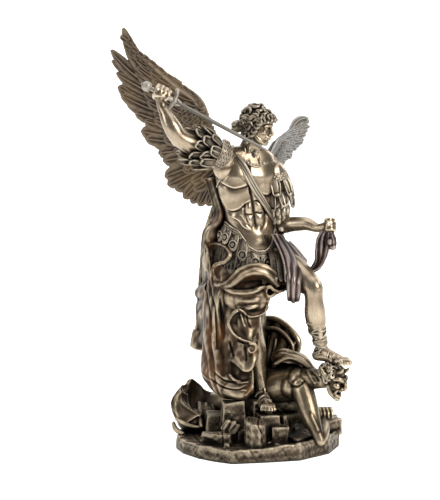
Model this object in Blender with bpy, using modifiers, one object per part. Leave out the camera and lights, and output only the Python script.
"""Statuette of the archangel Michael with a sword, standing on a fallen demon.

The statue is one casting: figure, wings, cloak, demon, rocks and polygonal base.
The sword is a straight piece of its own, held in the raised fist.
Points below are in millimetres; +Z is up, the figure is seen from the front along +Y.
"""

import math
import random

import bmesh
import bpy
import numpy as np
from mathutils import Matrix, Vector

MM = 0.001

# Base slab
BASE_HEIGHT = 11.0
BASE_RIM_RISE = 3.5
BASE_OUTLINE = [
    (-73, -20), (-67, -36), (-54, -52), (-40, -62), (-26, -69), (4, -64), (30, -58), (55, -37),
    (65, -12), (66, 8), (56, 30), (32, 44), (0, 49), (-34, 43), (-60, 27), (-72, 4),
]

# Sword
SWORD_POMMEL = (-95.0, -34.5, 304.0)
SWORD_TIP = (3.0, -29.0, 251.5)
POMMEL_RADIUS = 4.3
GRIP_RADIUS = 2.0
GUARD_LENGTH = 19.0
GUARD_RADIUS = 1.8
GUARD_AT = 25.0
BLADE_WIDTH = 4.6
BLADE_THICKNESS = 2.2
SWORD_GAP = 0.35

# Casting walls and the fineness of the surface
CLOTH_THICKNESS = 3.0
FEATHER_THICKNESS = 2.6
STRAP_THICKNESS = 2.2
CLAY_VOXEL = 1.15
TRIANGLES = 9300

# Figure: places of the joints and the turn of the torso
TORSO_TURN = math.radians(25.0)
SPINE = Vector((-9.0, 0.0, 0.0))
RIGHT = Vector((-math.cos(TORSO_TURN), -math.sin(TORSO_TURN), 0.0))
FRONT = Vector((math.sin(TORSO_TURN), -math.cos(TORSO_TURN), 0.0))
UP = Vector((0.0, 0.0, 1.0))
FACE = Vector((0.84, -0.52, -0.14)).normalized()
HEAD = Vector((-6.5, -7.0, 271.5))
RIGHT_SHOULDER = (-34, -15, 245)
RIGHT_ELBOW = (-63, -38, 256)
RIGHT_WRIST = (-83, -34, 288)
RIGHT_FIST = (-81.5, -34, 296)
LEFT_SHOULDER = (14, 11, 229)
LEFT_ELBOW = (20, 8, 182)
LEFT_WRIST = (45, -15, 186.5)
LEFT_FIST = (54, -20, 189)
RIGHT_HIP = (-19, -6, 155)
RIGHT_KNEE = (-11, -30, 106)
RIGHT_ANKLE = (-1, -14, 50)
LEFT_HIP = (5, 6, 155)
LEFT_KNEE = (40, -36, 142)
LEFT_ANKLE = (47, -30, 88)

# Trunk: the spine leans a little with the height, each section has its own half width and depths
SPINE_LINE = [(140, -8), (165, -9), (190, -11.5), (205, -13.5), (225, -14.5), (240, -12.5), (252, -10.5)]
GIRTH = [
    # height, half width, depth in front, depth behind
    (150, 26, 18, 18), (160, 26, 18, 18), (170, 24, 17, 16), (180, 21.5, 15.5, 14), (190, 19.5, 14.5, 13),
    (200, 20, 15, 13.5), (210, 22.3, 16, 14.5), (220, 24.6, 17, 15.5), (230, 26, 17, 15), (240, 25, 14, 13),
    (247, 20.5, 11, 10.5), (252, 12, 9, 9),
]
# Edge of the cuirass: angle from the front in degrees, height
RIM = [(-90, 190), (-75, 188), (-52, 184), (-37, 178.5), (-24, 171.5), (-8, 167), (10, 167), (24, 171), (35, 178),
       (47, 184), (75, 188.5), (90, 190)]


def on_body(angle, up, lift=0.0):
    """A point on the trunk: its angle in degrees from the front, its height and a lift."""
    turn = math.radians(angle)
    heights, widths, fronts, _ = zip(*GIRTH)
    wide = float(np.interp(up, heights, widths)) + lift
    deep = float(np.interp(up, heights, fronts)) + lift
    return body(math.sin(turn) * wide, math.cos(turn) * deep, up)


def right_wing_point(span, rise, layer=0.0):
    """A point of the right wing: how far out, how high over its root, and how far in front."""
    lean = layer + 2.0 - WING_CURL * (span / 80.0) ** 2
    return RIGHT_WING_ROOT + RIGHT_WING_OUT * span + UP * rise + RIGHT_WING_FACE * lean


def left_wing_point(span, rise, layer=0.0):
    """The same place on the left wing, which is half folded and points back and up."""
    along = 0.636 * span + 0.772 * rise
    across = 0.772 * span - 0.636 * rise
    along = along if along > 12 else 12 + (along - 12) * 0.3
    face = LEFT_WING_WIDE.cross(LEFT_WING_WAY)
    return LEFT_WING_ROOT + LEFT_WING_WAY * along * 0.82 + LEFT_WING_WIDE * across * 0.40 + face * layer * 0.6


def body(right, front, up):
    """A point of the torso, in its own turned frame."""
    heights, shifts = zip(*SPINE_LINE)
    spine = Vector((float(np.interp(up, heights, shifts)), 0.5, 0.0))
    return spine + RIGHT * right + FRONT * front + UP * up


def smooth_line(points, steps):
    """Points on a Catmull-Rom curve through the given points (tuples of any length)."""
    pts = [np.array(p, dtype=float) for p in points]
    ends = [2 * pts[0] - pts[1]] + pts + [2 * pts[-1] - pts[-2]]
    line = []
    for i in range(1, len(ends) - 2):
        a, b, c, d = ends[i - 1:i + 3]
        for k in range(steps):
            t = k / steps
            line.append(0.5 * (2 * b + (c - a) * t + (2 * a - 5 * b + 4 * c - d) * t ** 2
                               + (3 * b - a - 3 * c + d) * t ** 3))
    line.append(pts[-1])
    return line


class Clay:
    """Collects the shapes of one casting: solids, round limbs and thin leaves."""

    def __init__(self, name, group):
        self.name = name
        self.group = group
        self.solids = []
        self.unit_ball = bmesh.new()
        bmesh.ops.create_uvsphere(self.unit_ball, u_segments=20, v_segments=12, radius=1.0)
        self.limbs = bpy.data.curves.new(name + "_limbs", "CURVE")
        self.limbs.dimensions = "3D"
        self.limbs.bevel_depth = 1.0
        self.limbs.bevel_resolution = 4
        self.limbs.use_fill_caps = True
        self.leaves = {}

    def ball(self, centre, radii, x_axis=(1, 0, 0), tilt=(0, 0, 1)):
        """An ellipsoid whose first radius lies along x_axis and whose third leans to tilt."""
        x = Vector(x_axis).normalized()
        z = (Vector(tilt) - x * Vector(tilt).dot(x)).normalized()
        frame = Matrix((x, z.cross(x), z)).transposed().to_4x4()
        shape = self.unit_ball.copy()
        shape.transform(Matrix.Translation(Vector(centre)) @ frame @ Matrix.Diagonal((*radii, 1.0)))
        self.keep(shape)

    def keep(self, shape):
        """Keep a closed bmesh as one of the solids."""
        mesh = bpy.data.meshes.new("solid")
        shape.to_mesh(mesh)
        shape.free()
        self.solids.append(mesh)

    def limb(self, stations, steps=4):
        """A round limb through stations of x, y, z and radius, closed by a dome at each end."""
        line = smooth_line(stations, steps)
        spline = self.limbs.splines.new("POLY")
        spline.points.add(len(line) - 1)
        for point, (x, y, z, radius) in zip(spline.points, line):
            point.co = (x, y, z, 1.0)
            point.radius = radius
        for x, y, z, radius in (line[0], line[-1]):
            self.ball((x, y, z), (radius, radius, radius))

    def leaf(self, rows, thickness, steps=3):
        """An open surface through rows of points, given its thickness later by Solidify."""
        net = self.leaves.setdefault(thickness, bmesh.new())
        across = [smooth_line(row, steps) for row in rows]
        columns = [smooth_line(column, steps) for column in zip(*across)]
        verts = [[net.verts.new(p) for p in column] for column in columns]
        for left, right in zip(verts, verts[1:]):
            for a, b, c, d in zip(left, right, right[1:], left[1:]):
                net.faces.new((a, b, c, d))

    def rock(self, centre, size, seed, turn=0.0, points=16):
        """A broken stone: the hull of points scattered in a box."""
        rng = random.Random(seed)
        shape = bmesh.new()
        spin = Matrix.Rotation(math.radians(turn), 3, "Z")
        for _ in range(points):
            corner = Vector([rng.choice((-1, 1)) * rng.uniform(0.75, 1.0) * s / 2 for s in size])
            shape.verts.new(spin @ corner + Vector(centre))
        hull = bmesh.ops.convex_hull(shape, input=shape.verts)
        loose = [v for v in hull["geom_interior"] if isinstance(v, bmesh.types.BMVert)]
        bmesh.ops.delete(shape, geom=loose, context="VERTS")
        self.keep(shape)

    def evaluated(self, data, solidify=None):
        """The mesh that Blender makes of a data block, with a Solidify if one is asked for."""
        holder = bpy.data.objects.new("holder", data)
        self.group.objects.link(holder)
        if solidify is not None:
            shell = holder.modifiers.new("thickness", "SOLIDIFY")
            shell.thickness = solidify
            shell.offset = 0.0
        graph = bpy.context.evaluated_depsgraph_get()
        mesh = bpy.data.meshes.new_from_object(holder.evaluated_get(graph))
        bpy.data.objects.remove(holder)
        return mesh

    def fuse(self, voxel, triangles, material, floor=None):
        """Fuse everything into one skin, keep its outer shell and thin it to the triangle count."""
        whole = bmesh.new()
        sources = self.solids + [self.evaluated(self.limbs)]
        for thickness, net in self.leaves.items():
            sheet = bpy.data.meshes.new("sheet")
            net.to_mesh(sheet)
            sources.append(self.evaluated(sheet, thickness))
        for mesh in sources:
            whole.from_mesh(mesh)
        bmesh.ops.scale(whole, vec=(MM, MM, MM), verts=whole.verts)
        mesh = bpy.data.meshes.new(self.name)
        whole.to_mesh(mesh)
        whole.free()
        skin = bpy.data.objects.new(self.name, mesh)
        self.group.objects.link(skin)
        remesh = skin.modifiers.new("skin", "REMESH")
        remesh.mode = "VOXEL"
        remesh.voxel_size = voxel * MM
        soften = skin.modifiers.new("soften", "SMOOTH")
        soften.factor = 0.5
        soften.iterations = 2
        self.bake(skin)
        keep_outer_shell(skin.data)
        if floor is not None:
            press_flat(skin.data, floor * MM, 0.6 * voxel * MM)
        thin = skin.modifiers.new("thin", "DECIMATE")
        faces = sum(len(p.vertices) - 2 for p in skin.data.polygons)
        thin.ratio = triangles / faces
        thin.use_collapse_triangulate = True
        self.bake(skin)
        skin.data.materials.append(material)
        return skin

    def bake(self, holder):
        """Replace an object's mesh by what its modifiers make of it."""
        graph = bpy.context.evaluated_depsgraph_get()
        mesh = bpy.data.meshes.new_from_object(holder.evaluated_get(graph))
        holder.modifiers.clear()
        holder.data = mesh


def keep_outer_shell(mesh):
    """Delete every connected part but the largest, such as the skins of sealed hollows."""
    work = bmesh.new()
    work.from_mesh(mesh)
    work.verts.ensure_lookup_table()
    seen = set()
    shells = []
    for start in work.verts:
        if start.index in seen:
            continue
        shell = [start]
        seen.add(start.index)
        for vert in shell:
            for edge in vert.link_edges:
                other = edge.other_vert(vert)
                if other.index not in seen:
                    seen.add(other.index)
                    shell.append(other)
        shells.append(shell)
    shells.sort(key=len)
    for shell in shells[:-1]:
        bmesh.ops.delete(work, geom=shell, context="VERTS")
    work.to_mesh(mesh)
    work.free()


def press_flat(mesh, level, reach):
    """Lay every vertex within reach of the level on it, so that the underside is flat."""
    for vert in mesh.vertices:
        if vert.co.z < level + reach:
            vert.co.z = level


def bronze(name, colour, roughness):
    """A cast bronze finish."""
    material = bpy.data.materials.new(name)
    material.use_nodes = True
    shader = material.node_tree.nodes["Principled BSDF"]
    shader.inputs["Base Color"].default_value = (*colour, 1.0)
    shader.inputs["Roughness"].default_value = roughness
    shader.inputs["Metallic"].default_value = 1.0
    return material


def tongue(clay, top, bottom, side, width, thickness, bulge=(0, 0, 0)):
    """A hanging leather tongue with a rounded end."""
    top = Vector(top)
    bottom = Vector(bottom)
    side = Vector(side).normalized()
    bulge = Vector(bulge)
    rows = []
    for t, w in ((0.0, 0.9), (0.45, 1.0), (0.85, 0.95), (1.0, 0.45)):
        middle = top.lerp(bottom, t) + bulge * math.sin(math.pi * t)
        rows.append([middle - side * width * w / 2, middle + bulge * 0.15, middle + side * width * w / 2])
    clay.leaf(rows, thickness, 2)


def feather(clay, root, tip, width, normal, bow, thickness):
    """A flight feather: a long leaf, widest past its middle, raised along its quill."""
    root = Vector(root)
    tip = Vector(tip)
    along = tip - root
    side = along.cross(Vector(normal)).normalized()
    lift = Vector(normal).normalized()
    rows = []
    for t, w in ((0.0, 0.5), (0.3, 0.85), (0.6, 1.0), (0.85, 0.85), (0.96, 0.5), (1.0, 0.16)):
        middle = root + along * t + side * bow * math.sin(math.pi * t)
        half = side * width * w / 2
        rows.append([middle - half, middle + lift * width * 0.12, middle + half])
    clay.leaf(rows, thickness, 2)


# Wings: their roots, the ways they point, their feathers and their fore edge
WING_CURL = 6.0
RIGHT_WING_ROOT = Vector((-38, 19, 243))
RIGHT_WING_OUT = Vector((-0.92, 0.39, 0.0)).normalized()
RIGHT_WING_FACE = Vector((-0.39, -0.92, 0.0)).normalized()
LEFT_WING_ROOT = Vector((13, 24, 228))
LEFT_WING_WAY = Vector((0.25, 0.89, 0.38)).normalized()
LEFT_WING_WIDE = Vector((0.81, 0.01, -0.56)).normalized()
FLIGHT = [
    # tip, root, width of the feather, bow
    ((89.2, 108.3), (42, 62), 14, -4.5), ((99.8, 88.5), (42, 56), 13, -3), ((99, 79.5), (42, 52), 12, -2.5),
    ((94.5, 69), (40, 46), 13, -2), ((88.5, 60.5), (36, 42), 13, -2), ((93.2, 57.0), (38, 36), 13, -2),
    ((90.5, 50.5), (34, 32), 12, -2), ((85, 44), (32, 28), 12, -1.5), ((77, 36), (28, 24), 13, -1),
    ((68, 29), (24, 20), 13, -1), ((71, 19.5), (26, 16), 14, -1), ((67, 13.5), (22, 12), 12, -1),
    ((60, 10.5), (20, 8), 12, -1), ((54.5, 1.5), (18, 6), 13, 0), ((50, -5), (14, 2), 13, 0),
    ((43.5, -10), (12, -2), 12, 0), ((48.5, -18.5), (12, -4), 13, 0), ((46, -25.5), (10, -8), 13, 0),
    ((38.5, -29.5), (8, -10), 12, 0), ((31, -36), (6, -12), 11, 0.5), ((24, -40), (4, -14), 10, 0.5),
    ((17, -42), (1, -16), 10, 0.5), ((9, -41.5), (-2, -16), 10, 0.5), ((2, -39), (-5, -16), 10, 0.5),
]
COVERTS = [
    # first root, last root, first tip, last tip, count, width, layer
    ((34, 60), (0, -10), (80, 84), (20, -30), 13, 11, 2.0), ((20, 50), (-3, 0), (54, 66), (16, -14), 10, 9, 4.0),
]
WING_ARM = [(-4, -8, 7), (-1, 14, 7.5), (3, 31, 6.5), (9, 42, 6), (19, 50, 5.2), (33, 57.5, 4.6), (50, 68, 3.8),
            (66, 79, 3), (78, 90, 2.2), (86, 102, 1.3)]


def wing(clay, point, normal, scale):
    """A feathered wing: flight feathers, two rows of coverts and a thick fore edge."""
    for (tip_s, tip_r), (root_s, root_r), width, bow in FLIGHT:
        feather(clay, point(root_s, root_r), point(tip_s, tip_r), width * scale, normal, bow * scale, FEATHER_THICKNESS)
    for (s0, r0), (s1, r1), (t0, q0), (t1, q1), count, width, layer in COVERTS:
        for i in range(count):
            k = i / (count - 1)
            root = point(s0 + (s1 - s0) * k, r0 + (r1 - r0) * k, layer)
            tip = point(t0 + (t1 - t0) * k, q0 + (q1 - q0) * k, layer)
            feather(clay, root, tip, width * scale, normal, 0.0, FEATHER_THICKNESS)
    clay.limb([(*point(s, r, 1.5), w * scale) for s, r, w in WING_ARM])


def wings(clay):
    wing(clay, right_wing_point, RIGHT_WING_FACE, 1.0)
    wing(clay, left_wing_point, LEFT_WING_WIDE.cross(LEFT_WING_WAY), 0.55)


def torso(clay):
    """The trunk as a loft of rounded sections with the muscle forms on it."""
    shape = bmesh.new()
    rings = []
    for up, wide, front, back in smooth_line(GIRTH, 3):
        ring = []
        for k in range(32):
            turn = math.tau * k / 32
            deep = front if math.cos(turn) > 0 else back
            ring.append(shape.verts.new(body(math.sin(turn) * wide, math.cos(turn) * deep, up)))
        rings.append(ring)
    for low, high in zip(rings, rings[1:]):
        for k in range(32):
            j = (k + 1) % 32
            shape.faces.new((low[k], low[j], high[j], high[k]))
    shape.faces.new(reversed(rings[0]))
    shape.faces.new(rings[-1])
    bmesh.ops.recalc_face_normals(shape, faces=shape.faces)
    clay.keep(shape)
    clay.limb([(-36, -15, 243, 9.5), (-22, -8, 246, 8.5), (-8, -1, 245, 8), (4, 5, 239, 8), (15, 12, 229, 9.5)])
    clay.ball(body(12.5, 10.5, 226), (11.5, 8, 10), RIGHT)
    clay.ball(body(-12, 10.5, 222.5), (11, 8, 10), RIGHT)
    clay.ball(body(15, 7, 208), (8, 8.5, 11), RIGHT)
    clay.ball(body(-14, 7, 207), (7.5, 8.5, 10), RIGHT)
    for rise, width in ((204, 5.2), (194.5, 5.0), (184, 5.0)):
        for side in (-4.9, 4.9):
            clay.ball(body(side, 13.2, rise), (width, 3.4, 5.2), RIGHT)
    clay.ball(body(0, 13.5, 176), (8.5, 4.5, 7.5), RIGHT)
    clay.limb([(*on_body(angle, rise, 0.6), 1.7) for angle, rise in RIM], 3)
    strap = ((74, 247), (45, 238), (6, 222), (-24, 205), (-51, 188), (-78, 178))
    clay.limb([(*on_body(angle, rise, 1.2), 2.3) for angle, rise in strap])


def skirt(clay):
    """Two rows of tongues under the cuirass, the upper one with round bosses."""
    for i in range(22):
        angle = math.radians(i * 360 / 22)
        way = RIGHT * math.sin(angle) + FRONT * math.cos(angle)
        side = RIGHT * math.cos(angle) - FRONT * math.sin(angle)
        top = SPINE + way * 20 + UP * 176
        bottom = SPINE + way * 29 + UP * 147
        tongue(clay, top, bottom, side, 8.4, STRAP_THICKNESS, way * 2.0)
    for i in range(-5, 6):
        angle = i * 18
        rise = float(np.interp(angle, *zip(*RIM)))
        turn = math.radians(angle)
        side = RIGHT * math.cos(turn) - FRONT * math.sin(turn)
        clay.ball(on_body(angle, rise - 6.5, 2.0), (3.4, 2.0, 3.4), side)
        tongue(clay, on_body(angle, rise - 1, 1.0), on_body(angle, rise - 12.5, 3.5), side, 7.8, STRAP_THICKNESS)
    clay.ball((7, -2, 160), (22, 20, 12), RIGHT)


def head(clay):
    across = FACE.cross(UP).normalized()
    top = across.cross(FACE).normalized()
    clay.limb([(-9, 0, 238, 11), (-8, -1, 246, 9.6), (-6, -3, 254, 8.6), (-5, -5, 262, 8.4)])
    clay.limb([(*body(0, 2, 236), 12.5), (*body(0, 1, 245), 11.0)])
    clay.ball(HEAD + FACE * -1.5 + top * 3, (14.2, 11.4, 13.0), FACE, top)
    clay.ball(HEAD + FACE * 5.5 + top * -5, (7.6, 8.2, 12.0), FACE, top)
    clay.ball(HEAD + FACE * 8.0 + top * -13, (4.4, 5.0, 4.4), FACE, top)
    clay.ball(HEAD + FACE * 13.2 + top * -3.6, (2.6, 1.8, 3.8), FACE, top)
    rng = random.Random(4)
    turns = 34
    for i in range(turns):
        rise = 1.0 - 1.25 * i / turns
        around = i * 2.39996
        ring = math.sqrt(max(0.0, 1.0 - rise * rise))
        way = FACE * (ring * math.cos(around)) + across * (ring * math.sin(around)) + top * rise
        if way.dot(FACE) > 0.62 and rise < 0.55:
            continue
        place = HEAD + FACE * -1.5 + top * 3 + FACE * way.dot(FACE) * 14 + across * way.dot(across) * 11.6
        place += top * way.dot(top) * 13
        size = rng.uniform(3.3, 4.3)
        clay.ball(place, (size, size, size))
    clay.ball((-24, -3, 273), (4.8, 4.8, 5.4))
    clay.ball((-20, -10, 262), (4.4, 4.0, 4.6))


def fist(clay, centre, along, knuckles, size):
    """A closed hand: a palm and four bent fingers around a held axis."""
    centre = Vector(centre)
    along = Vector(along).normalized()
    knuckles = Vector(knuckles).normalized()
    back = along.cross(knuckles)
    clay.ball(centre, (size * 1.05, size * 0.85, size * 0.85), along, knuckles)
    for i in range(4):
        place = centre + along * (i - 1.5) * size * 0.52
        for lift, reach in ((0.85, 0.25), (0.55, 0.8), (-0.05, 0.95)):
            spot = place + knuckles * size * lift + back * size * reach
            clay.ball(spot, (size * 0.3, size * 0.36, size * 0.36), along, knuckles)
    clay.limb([(*(centre - back * size * 0.3 - along * size * 0.7), size * 0.36),
               (*(centre + knuckles * size * 0.2 + back * size * 0.75 + along * size * 0.2), size * 0.3)])


def arms(clay):
    clay.ball(RIGHT_SHOULDER, (11.5, 11, 11))
    clay.limb([(*RIGHT_SHOULDER, 10), (-49, -27, 250, 9.4), (*RIGHT_ELBOW, 6.8), (-70, -38, 266, 6.6),
               (-78, -36, 279, 5.2), (*RIGHT_WRIST, 3.9), (*RIGHT_FIST, 4.2)])
    sword_way = Vector(SWORD_TIP) - Vector(SWORD_POMMEL)
    fist(clay, RIGHT_FIST, sword_way, (0.25, 0.0, 1.0), 6.4)
    clay.ball(LEFT_SHOULDER, (10.5, 11, 11))
    clay.limb([(*LEFT_SHOULDER, 10), (19, 12, 205, 9), (*LEFT_ELBOW, 7), (32, -2, 182.5, 6.2),
               (*LEFT_WRIST, 4.2), (*LEFT_FIST, 4.5)])
    fist(clay, LEFT_FIST, (0.15, -0.35, -1.0), (0.9, -0.4, 0.1), 5.6)
    # Right sleeve: a scaled cap and three rows of tongues drooping from the raised arm.
    arm = Vector(RIGHT_ELBOW) - Vector(RIGHT_SHOULDER)
    way = arm.normalized()
    side = way.cross(UP).normalized()
    over = side.cross(way)
    clay.ball(Vector(RIGHT_SHOULDER) + way * 1.0, (8.0, 14.0, 14.0), way, UP)
    for row, (start, reach, spread) in enumerate(((3, 17, 14.5), (9, 24, 15.0), (15, 30, 13.5))):
        for i in range(10):
            angle = math.radians(36 * i + 18 * (row % 2))
            out = side * math.cos(angle) + over * math.sin(angle)
            around = side * -math.sin(angle) + over * math.cos(angle)
            top = Vector(RIGHT_SHOULDER) + way * start + out * 10.5
            end = Vector(RIGHT_SHOULDER) + way * reach + out * spread + UP * -3.0
            tongue(clay, top, end, around, 8.6, STRAP_THICKNESS, out * 2.4)
    # Left sleeve: the same tongues in four rows round the lowered arm.
    arm = Vector(LEFT_ELBOW) - Vector(LEFT_SHOULDER)
    way = arm.normalized()
    side = way.cross(FRONT).normalized()
    over = side.cross(way)
    clay.ball(Vector(LEFT_SHOULDER) + way * 2.0, (9.0, 12.5, 13.0), way, FRONT)
    for row in range(4):
        for i in range(9):
            angle = math.radians(40 * i + 20 * (row % 2))
            out = side * math.cos(angle) + over * math.sin(angle)
            around = side * -math.sin(angle) + over * math.cos(angle)
            top = Vector(LEFT_SHOULDER) + way * (4 + 9 * row) + out * 9.5
            end = Vector(LEFT_SHOULDER) + way * (17 + 9 * row) + out * 12.5
            tongue(clay, top, end, around, 8.0, STRAP_THICKNESS, out * 1.5)


def legs(clay):
    clay.limb([(*RIGHT_HIP, 17), (-15, -18, 130, 14.5), (*RIGHT_KNEE, 10), (-7, -22, 86, 9.5),
               (-3, -16, 66, 6.5), (*RIGHT_ANKLE, 4.6)])
    foot(clay, RIGHT_ANKLE, (4, -38, 38), 7.0)
    clay.limb([(*LEFT_HIP, 17), (24, -16, 148, 14.5), (*LEFT_KNEE, 10.2), (42, -35, 126, 9.0),
               (45, -31, 112, 9.4), (47, -30, 98, 6.6), (*LEFT_ANKLE, 5.6)])
    clay.ball(Vector(LEFT_KNEE) + Vector((2, -6, 0)), (5.5, 5, 6.5))
    foot(clay, LEFT_ANKLE, (69, -48, 78), 7.4)
    clay.limb([(45, -30, 101, 7.4), (46.5, -29, 93, 7.2), (45, -25, 82, 6.8)])


def foot(clay, ankle, toe, width):
    """A foot from the ankle down to the toes, with its heel and five toes."""
    ankle = Vector(ankle)
    toe = Vector(toe)
    flat = Vector((toe.x - ankle.x, toe.y - ankle.y, 0)).normalized()
    side = flat.cross(UP)
    sole = toe.z
    heel = Vector((ankle.x, ankle.y, sole + 3.5)) - flat * 4
    ball_of_foot = toe - flat * 9 + UP * 3.0
    clay.limb([(*heel, 4.6), (*(heel.lerp(ball_of_foot, 0.5) + UP * 2), 5.4), (*ball_of_foot, 4.6)])
    clay.limb([(*ankle, 4.8), (*(heel.lerp(ball_of_foot, 0.35) + UP * 4), 5.0), (*ball_of_foot, 4.2)])
    for i in range(5):
        offset = (i - 2) * width * 0.27
        reach = 0.0 - 1.1 * abs(i - 1)
        start = ball_of_foot + side * offset
        end = toe + side * offset * 1.05 + flat * reach + UP * 1.8
        clay.limb([(*start, 2.5), (*end, 1.9)], 2)


# Back of the cloak: left edge, right edge, depth behind the spine, height, depth of the folds.
BACK_DRAPE = [
    (-32, 16, 24, 228, 0.8), (-42, 20, 27, 196, 1.8), (-50, 23, 31, 162, 2.8),
    (-54, 21, 35, 126, 3.6), (-56, 17, 38, 92, 4.4), (-58, 15, 41, 62, 5.0),
]
BACK_FOLDS = 5


def cloak(clay):
    """The cloak: a strip from the wing, a curled rim, an arched fold, a bag and long hems."""
    cloth = CLOTH_THICKNESS
    # Filled body of the cloth around the right leg.
    clay.limb([(-22, 2, 152, 24), (-25, 0, 130, 26.5), (-27, 0, 108, 25.5), (-28, 0, 86, 24), (-27, -4, 66, 20),
               (-25, -8, 56, 16)])
    # Long vertical folds on it.
    folds = [
        (-47, -10, 142, -52, -6, 96, 3.4), (-43, -22, 132, -47, -18, 84, 3.0), (-34, -30, 128, -38, -28, 80, 2.6),
        (-52, 6, 136, -54, 8, 88, 3.6), (-26, -31, 104, -30, -30, 72, 2.4), (-12, -30, 96, -16, -31, 74, 2.6),
        (-48, 20, 150, -50, 24, 92, 3.6), (-36, 30, 160, -36, 32, 88, 4.0), (-20, 32, 170, -18, 34, 90, 4.2),
        (-4, 27, 160, -2, 28, 84, 4.0),
    ]
    for x0, y0, z0, x1, y1, z1, radius in folds:
        middle = ((x0 + x1) / 2 - 1.0, (y0 + y1) / 2, (z0 + z1) / 2)
        clay.limb([(x0, y0, z0, radius * 0.6), (*middle, radius), (x1, y1, z1, radius * 1.1)])
    # Strip that falls from under the wing to the hip.
    clay.leaf([
        [(-47, 20, 222), (-47, 16, 203), (-42, 10, 193), (-41, 6, 184), (-49, 2, 173), (-51, 2, 158), (-50, 4, 140)],
        [(-40, 14, 222), (-39, 8, 203), (-35, 2, 193), (-38, 0, 183), (-43, -4, 174), (-44, -8, 160), (-44, -14, 144)],
        [(-30, 20, 222), (-28, 18, 203), (-26, 16, 193), (-28, 14, 183), (-30, 10, 172), (-32, 6, 158), (-34, 0, 144)],
    ], cloth)
    # Curled rim beside the hip.
    clay.leaf([
        [(-49, -6, 174), (-35, -18, 174), (-27, -28, 165), (-33, -24, 158), (-42, -15, 154), (-41, -18, 146), (-31, -30, 141)],
        [(-50, 2, 172), (-40, -6, 170), (-33, -14, 163), (-37, -12, 157), (-46, -6, 153), (-46, -8, 145), (-38, -18, 138)],
        [(-50, 10, 168), (-44, 4, 166), (-38, -2, 160), (-42, -2, 155), (-49, 4, 151), (-50, 2, 143), (-44, -8, 134)],
    ], cloth)
    # Arched fold across the hip, ending in a curled corner.
    clay.leaf([
        [(-42, -22, 134), (-31, -31, 142), (-27, -34, 152), (-12, -37, 159), (1, -35, 153), (10, -31, 142)],
        [(-42, -26, 126), (-30, -38, 134), (-22, -43, 143), (-10, -45, 149), (3, -41, 145), (12, -34, 139)],
        [(-42, -24, 118), (-31, -38, 124), (-20, -43, 131), (-8, -44, 136), (2, -40, 137), (6, -36, 136)],
        [(-42, -20, 108), (-32, -33, 113), (-20, -38, 117), (-8, -38, 119), (0, -36, 121), (4, -32, 128)],
    ], cloth)
    clay.limb([(-36, -24, 128, 4), (-22, -28, 134, 7), (-8, -28, 138, 8), (2, -25, 136, 6)])
    clay.limb([(10, -31, 141, 2.4), (13, -33, 138, 2.2), (9, -35, 134, 2.2), (2, -36, 134, 2.2), (0, -35, 140, 2.0)])
    # Lower hem of the bag and the turned flap below it.
    clay.limb([(-18, -39, 121, 2.0), (-11, -41, 115, 2.2), (-3, -37, 115, 2.2), (3, -33, 121, 2.4), (5, -30, 130, 2.4)])
    clay.leaf([
        [(-18, -38, 121), (-28, -40, 116), (-29, -42, 109), (-24, -43, 100), (-11, -41, 94)],
        [(-12, -36, 118), (-20, -36, 113), (-21, -38, 107), (-17, -39, 100), (-7, -39, 93)],
        [(-3, -34, 114), (-5, -32, 110), (-5, -32, 104), (-4, -33, 97), (-3, -34, 90)],
    ], cloth)
    clay.limb([(-3, -34, 112, 2.0), (-3, -32, 90, 2.0), (-3, -30, 74, 2.0)])
    clay.limb([(-11, -41, 94, 1.8), (-8, -43, 91, 1.8), (-9, -42, 88, 1.6)])
    # Front of the cloak below, with the waved hem that flips out at the left.
    clay.leaf([
        [(-55, 20, 104), (-54, 10, 104), (-50, -8, 104), (-42, -22, 104), (-30, -31, 102), (-18, -34, 100), (-4, -32, 98)],
        [(-57, 22, 92), (-52, 8, 92), (-47, -10, 92), (-42, -24, 90), (-30, -32, 88), (-18, -35, 88), (-3, -33, 90)],
        [(-61, 22, 80), (-48, 4, 81), (-43, -10, 80), (-47, -8, 72), (-34, -27, 74), (-20, -33, 75), (-4, -34, 82)],
        [(-58, 24, 78), (-46, 4, 76), (-50, -4, 66), (-45, -22, 59), (-35, -24, 70), (-20, -34, 72), (-6, -38, 78)],
    ], cloth)
    # Lining that bulges below the hem.
    clay.leaf([
        [(-46, 4, 74), (-42, -12, 72), (-30, -22, 74), (-16, -26, 72), (-6, -24, 72)],
        [(-49, 2, 62), (-43, -18, 60), (-30, -30, 60), (-16, -32, 58), (-7, -28, 60)],
        [(-46, 2, 54), (-39, -18, 49), (-28, -28, 47), (-15, -30, 46), (-9, -26, 50)],
    ], cloth)
    # Back of the cloak, from the shoulders to the rocks, with folds that deepen downwards.
    rows = []
    for left, right, back, rise, depth in BACK_DRAPE:
        row = []
        for k in range(int(BACK_FOLDS) * 4 + 1):
            u = k / (int(BACK_FOLDS) * 4)
            x = left + (right - left) * u
            y = back + depth * math.cos(u * BACK_FOLDS * math.tau + rise * 0.02) - 10 * (2 * u - 1) ** 2
            row.append((x, y, rise + 4 * math.sin(u * BACK_FOLDS * math.tau) * (1 - rise / 240)))
        rows.append(row)
    clay.leaf(rows, cloth, 2)
    clay.ball((-14, 16, 110), (34, 20, 60))


def ribbon(clay, path, side, width, thickness):
    """A strip of cloth along a path, widening and narrowing as given, with a middle fold."""
    side = Vector(side).normalized()
    rows = []
    for (x, y, z), wide in zip(path, width):
        middle = Vector((x, y, z))
        lift = Vector((0, -1.6, 0))
        rows.append([middle - side * wide / 2, middle - side * wide / 5 + lift, middle + side * wide / 5,
                     middle + side * wide / 2 + lift])
    clay.leaf(rows, thickness)


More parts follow.
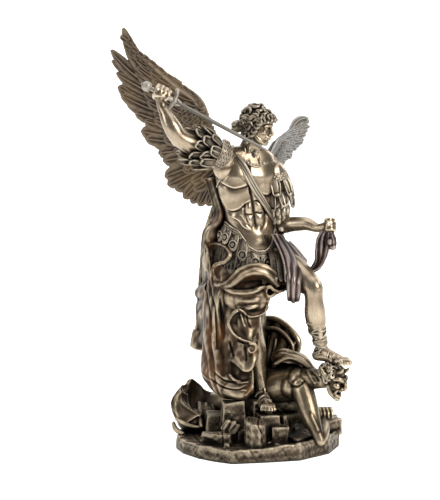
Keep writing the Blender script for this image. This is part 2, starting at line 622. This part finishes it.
def sash(clay):
    """The sash: held in the left fist, behind the thigh, round the waist and over the thigh."""
    cloth = CLOTH_THICKNESS
    ribbon(clay, [(52, -20, 188), (49, -18, 176), (49, -17, 162), (46, -12, 152), (38, 0, 146), (26, 8, 148)],
           (1, 0, 0.15), (5, 9, 9, 9, 9, 9), cloth)
    ribbon(clay, [(55, -21, 184), (59, -20, 174), (56, -20, 167)], (1, 0, 0), (5, 6, 3), cloth)
    ribbon(clay, [(15, 0, 186), (20, -6, 172), (25, -15, 160), (26, -23, 150), (25, -27, 138), (25, -26, 129)],
           (1, 0.3, 0), (8, 9, 10, 12, 12, 6), cloth)
    clay.ball((24, -22, 139), (7, 6, 10))
    ribbon(clay, [(27, 2, 172), (32, -4, 162), (33, -8, 152)], (0.7, -0.7, 0), (10, 14, 12), cloth)


def demon(clay):
    """The fallen demon: prone, head to the right under the angel's foot."""
    clay.limb([(-44, 22, 22, 12), (-26, 14, 34, 15), (-4, 4, 44, 16), (16, -8, 52, 17), (30, -16, 57, 14)])
    clay.limb([(26, -14, 58, 13), (40, -26, 61, 9.5), (50, -34, 62, 8.4)])
    clay.ball((57, -37, 65), (12, 10.5, 12.5), (0.8, -0.55, -0.2))
    clay.ball((63, -42, 56), (7.5, 6.5, 8.5), (0.8, -0.55, -0.2))
    clay.ball((67, -45, 63), (3.6, 3.0, 3.4))
    clay.ball((61, -44, 70), (7.5, 4.5, 3.0))
    clay.limb([(63, -44, 49, 3.0), (65, -45, 44.5, 1.4)])
    clay.limb([(47, -38, 66, 2.6), (49, -41, 71, 2.2), (52, -44, 70, 1.8)])
    clay.limb([(67, -42, 73, 2.2), (70, -44, 76, 1.4)])
    rng = random.Random(7)
    for i in range(22):
        angle = i * 2.39996
        rise = 1.0 - 1.5 * (i + 0.5) / 22
        ring = math.sqrt(max(0.0, 1 - rise * rise))
        place = Vector((54, -34, 66)) + Vector((10.5 * ring * math.cos(angle), 10.5 * ring * math.sin(angle), 11 * rise))
        if place.x > 61 and place.y < -38:
            continue
        size = rng.uniform(2.8, 3.8)
        clay.ball(place, (size, size, size))
    # Near arm: shoulder, elbow at the rim of the base, hand on the rock.
    clay.ball((30, -22, 57), (11, 11, 12))
    clay.limb([(31, -25, 56, 9.5), (37, -34, 42, 8.4), (41, -40, 30, 7), (46, -44, 15, 5.0), (50, -36, 17, 5.6),
               (51, -24, 22, 4.8), (51, -14, 27, 4.2)])
    for i in range(4):
        clay.limb([(49 + 2.6 * i, -12, 29, 2.2), (50 + 2.8 * i, -18, 31, 2.0), (51 + 2.8 * i, -22, 27, 1.6)], 2)
    # Far arm and the cloth over the back.
    clay.limb([(26, 8, 50, 8), (34, 22, 34, 6), (46, 26, 18, 5)])
    clay.leaf([
        [(14, -10, 76), (24, -16, 78), (34, -18, 72), (40, -22, 64)],
        [(12, 0, 78), (24, -4, 76), (36, -6, 74), (44, -14, 66)],
        [(14, 12, 70), (26, 10, 74), (36, 6, 66), (44, 0, 58)],
    ], CLOTH_THICKNESS)
    for y in (-12, -2, 8):
        clay.limb([(12, y, 74, 2.6), (24, y - 4, 79, 3.0), (38, y - 6, 70, 2.6)])
    # Legs trailing to the back left.
    clay.limb([(-40, 26, 24, 11), (-46, 34, 18, 9), (-56, 22, 14, 6)])
    bat_wings(clay)


def bat_wings(clay):
    """The near wing arches beside the angel's leg; the far one lies spread at the left."""
    clay.limb([(-6, 30, 98, 3.4), (6, 28, 103, 3.4), (20, 22, 98, 3.6), (31, 15, 84, 3.8), (28, 12, 73, 3.0), (14, 6, 60, 2.6)])
    clay.limb([(2, 24, 92, 2.2), (16, 18, 90, 2.4), (27, 12, 80, 2.4), (24, 8, 70, 2.2), (8, 2, 58, 2.0)])
    clay.leaf([
        [(-4, 30, 100), (8, 28, 103), (21, 22, 97), (31, 15, 83)],
        [(-4, 24, 84), (6, 20, 84), (17, 14, 80), (27, 11, 74)],
        [(-4, 16, 64), (2, 12, 62), (10, 8, 60), (18, 6, 62)],
    ], FEATHER_THICKNESS)
    clay.leaf([
        [(-44, 34, 40), (-52, 42, 40), (-60, 45, 47), (-63, 38, 42), (-68, 32, 43), (-73, 26, 36), (-77, 20, 30)],
        [(-42, 16, 34), (-50, 18, 32), (-58, 20, 34), (-61, 16, 31), (-66, 12, 32), (-70, 6, 27), (-75, 2, 24)],
        [(-42, -8, 22), (-48, -10, 20), (-55, -12, 20), (-58, -14, 18), (-62, -16, 18), (-66, -18, 14), (-70, -20, 12)],
    ], CLOTH_THICKNESS)
    for tip, middle, root in (((-60, 45, 47), (-58, 18, 36), (-52, -14, 20)), ((-68, 32, 43), (-66, 10, 34), (-60, -18, 19)),
                              ((-77, 20, 30), (-75, 0, 26), (-69, -20, 15))):
        clay.limb([(*tip, 1.6), (*middle, 2.6), (*root, 2.6)])
    clay.ball((-54, 14, 20), (20, 30, 16))


def slab(clay):
    """The polygonal base with a rim that rises a little to the right."""
    shape = bmesh.new()
    ring = []
    for x, y in BASE_OUTLINE:
        ring.append(shape.verts.new((x, y, 0.0)))
    top = []
    for x, y in BASE_OUTLINE:
        rise = BASE_HEIGHT + BASE_RIM_RISE * max(0.0, min(1.0, (x + 20) / 50))
        top.append(shape.verts.new((x * 0.985, y * 0.985, rise)))
    count = len(ring)
    shape.faces.new(reversed(ring))
    for i in range(count):
        j = (i + 1) % count
        shape.faces.new((ring[i], ring[j], top[j], top[i]))
    peak = shape.verts.new((0, 0, BASE_HEIGHT + 3))
    for i in range(count):
        shape.faces.new((top[i], top[(i + 1) % count], peak))
    clay.keep(shape)


ROCKS = [
    # centre, size, seed, turn
    ((2, -33, 22), (24, 24, 28), 1, 20), ((14, -38, 19), (18, 16, 22), 2, 10), ((-44, -40, 17), (18, 14, 18), 3, -15),
    ((-29, -42, 17), (17, 14, 18), 4, 25), ((-30, -28, 33), (16, 14, 26), 5, 40), ((-14, -28, 30), (20, 18, 30), 6, 15),
    ((-66, -18, 13), (14, 20, 14), 7, 0), ((56, -8, 18), (20, 24, 16), 8, 30), ((60, 12, 14), (16, 20, 14), 9, 10),
    ((20, -20, 22), (20, 20, 24), 10, 35), ((-40, -14, 22), (24, 20, 24), 11, 5), ((10, 30, 18), (40, 24, 22), 12, 12),
    ((-26, 32, 20), (40, 22, 26), 13, -8), ((42, 24, 16), (22, 20, 18), 14, 22), ((0, 0, 26), (50, 40, 36), 15, 0),
    ((-4, -16, 34), (20, 18, 26), 16, 30),
]


def rocks(clay):
    for centre, size, seed, turn in ROCKS:
        clay.rock(centre, size, seed, turn)
    # Cut stump at the front, its pale top sloping to the front right.
    stump = bmesh.new()
    bmesh.ops.create_cone(stump, cap_ends=True, segments=8, radius1=9.5, radius2=9.0, depth=28)
    stump.transform(Matrix.Translation((-7, -52, 17)))
    for vert in stump.verts:
        if vert.co.z > 20:
            vert.co.z += 0.10 * (vert.co.y + 52) - 0.16 * (vert.co.x + 7)
    clay.keep(stump)


def sword_frame():
    """The sword's own frame: X along the blade, Z across its flat."""
    start = Vector(SWORD_POMMEL)
    along = (Vector(SWORD_TIP) - start)
    x = along.normalized()
    z = (UP - x * UP.dot(x)).normalized()
    turn = Matrix((x, z.cross(x), z)).transposed().to_4x4()
    return Matrix.Translation(start) @ turn, along.length


def sword_solid(group, name, grow):
    """The sword as one closed piece, grown by a clearance when it serves as a cutter."""
    frame, length = sword_frame()
    work = bmesh.new()
    blade_end = length
    profile = [
        (-POMMEL_RADIUS, 0.05), (-POMMEL_RADIUS * 0.7, 0.71), (0.0, 1.0), (POMMEL_RADIUS * 0.7, 0.71),
    ]
    stations = [(x, (POMMEL_RADIUS * s + grow, POMMEL_RADIUS * s + grow)) for x, s in profile]
    grip = (GRIP_RADIUS + grow, GRIP_RADIUS + grow)
    guard = (GUARD_RADIUS + grow, GUARD_LENGTH / 2 + grow)
    blade = (BLADE_THICKNESS / 2 + grow, BLADE_WIDTH / 2 + grow)
    stations += [(POMMEL_RADIUS, grip), (GUARD_AT - GUARD_RADIUS - grow, grip),
                 (GUARD_AT - GUARD_RADIUS - grow, guard), (GUARD_AT + GUARD_RADIUS + grow, guard),
                 (GUARD_AT + GUARD_RADIUS + grow, blade), (blade_end - 9.0, blade),
                 (blade_end, (0.4 + grow, 0.4 + grow))]
    rings = []
    for x, (half_y, half_z) in stations:
        ring = []
        for k in range(12):
            angle = math.tau * k / 12
            ring.append(work.verts.new((x, half_y * math.cos(angle), half_z * math.sin(angle))))
        rings.append(ring)
    for first, second in zip(rings, rings[1:]):
        for k in range(12):
            j = (k + 1) % 12
            work.faces.new((first[k], second[k], second[j], first[j]))
    work.faces.new(rings[0])
    work.faces.new(reversed(rings[-1]))
    bmesh.ops.recalc_face_normals(work, faces=work.faces)
    work.transform(Matrix.Scale(MM, 4) @ frame)
    mesh = bpy.data.meshes.new(name)
    work.to_mesh(mesh)
    work.free()
    piece = bpy.data.objects.new(name, mesh)
    group.objects.link(piece)
    return piece


def main():
    for old in list(bpy.data.objects):
        bpy.data.objects.remove(old)
    scene = bpy.context.scene.collection
    group = bpy.data.collections.new("archangel_statue")
    cutters = bpy.data.collections.new("cutters")
    scene.children.link(group)
    scene.children.link(cutters)

    clay = Clay("statue", group)
    slab(clay)
    rocks(clay)
    torso(clay)
    skirt(clay)
    head(clay)
    arms(clay)
    legs(clay)
    wings(clay)
    cloak(clay)
    sash(clay)
    demon(clay)
    statue = clay.fuse(CLAY_VOXEL, TRIANGLES, bronze("antique_bronze", (0.20, 0.155, 0.11), 0.36), 0.0)

    sword = sword_solid(group, "sword", 0.0)
    sword.data.materials.append(bronze("sword_metal", (0.42, 0.38, 0.33), 0.30))

    slot = sword_solid(cutters, "sword_slot", SWORD_GAP)
    slot.hide_render = True
    slot.display_type = "WIRE"
    cut = statue.modifiers.new("sword_slot", "BOOLEAN")
    cut.operation = "DIFFERENCE"
    cut.object = slot


main()
